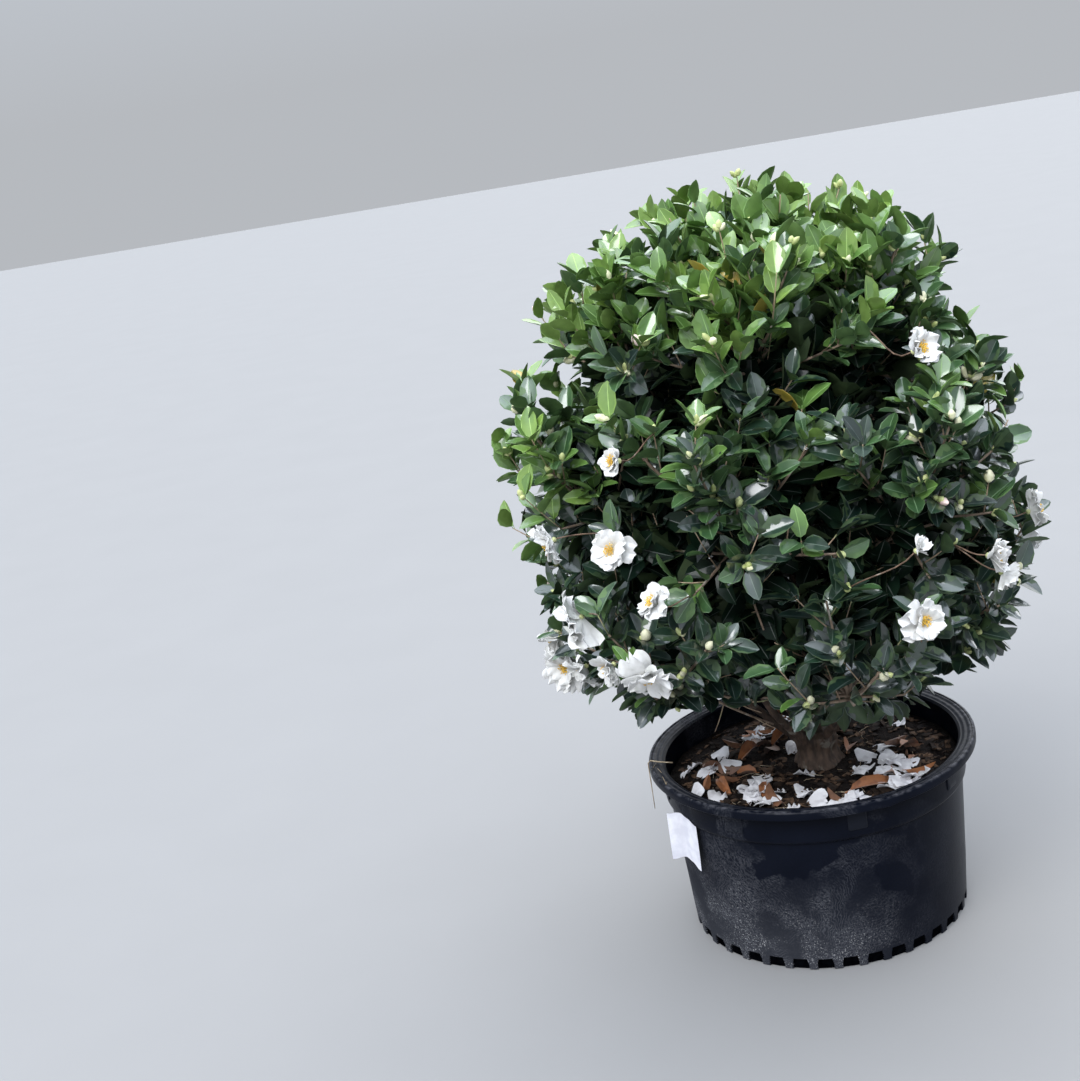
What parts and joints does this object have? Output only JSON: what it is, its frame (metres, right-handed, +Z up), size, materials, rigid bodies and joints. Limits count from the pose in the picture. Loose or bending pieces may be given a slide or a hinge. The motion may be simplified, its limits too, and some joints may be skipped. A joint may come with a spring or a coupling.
{
  "type": "camellia shrub in a nursery pot",
  "caption": "Evergreen camellia shrub with white blossom, rounded crown on several thin stems from one short trunk, growing in a squat round black nursery pot.",
  "frame": {"origin": "middle of the pot's flat underside, on the surface it stands on", "axes": "+Z up along the pot's axis, -Y towards the shrub's front as the picture shows it, +X to the right seen from the front"},
  "size_m": [0.9616, 0.9282, 1.4164],
  "materials": {
    "black_plastic": "smooth moulded plastic with a dull sheen, scuffed grey low down",
    "potting_mix": "damp dark bark mix with fallen leaves and petals",
    "white_card": "matt white card",
    "bark": "thin grey-brown bark, a little rough",
    "foliage": "glossy dark evergreen leaves with white blossom"
  },
  "bodies": {
    "root": {"pot": "black_plastic", "potting_mix": "potting_mix", "label_tag": "white_card", "trunk": "bark", "stem_1": "bark", "stem_2": "bark", "stem_3": "bark", "stem_4": "bark", "stem_5": "bark", "stem_6": "bark", "stem_7": "bark", "stem_8": "bark", "stem_9": "bark", "bough_01": "bark", "bough_02": "bark", "bough_03": "bark", "bough_04": "bark", "bough_05": "bark", "bough_06": "bark", "bough_07": "bark", "bough_08": "bark", "bough_09": "bark", "bough_10": "bark", "bough_11": "bark", "bough_12": "bark", "bough_13": "bark", "bough_14": "bark", "bough_15": "bark", "bough_16": "bark", "bough_17": "bark", "bough_18": "bark", "foliage_01": "foliage", "foliage_02": "foliage", "foliage_03": "foliage", "foliage_04": "foliage", "foliage_05": "foliage", "foliage_06": "foliage", "foliage_07": "foliage", "foliage_08": "foliage", "foliage_09": "foliage", "foliage_10": "foliage", "foliage_11": "foliage", "foliage_12": "foliage", "foliage_13": "foliage", "foliage_14": "foliage", "foliage_15": "foliage", "foliage_16": "foliage", "foliage_17": "foliage", "foliage_18": "foliage"}
  },
  "joints": []
}
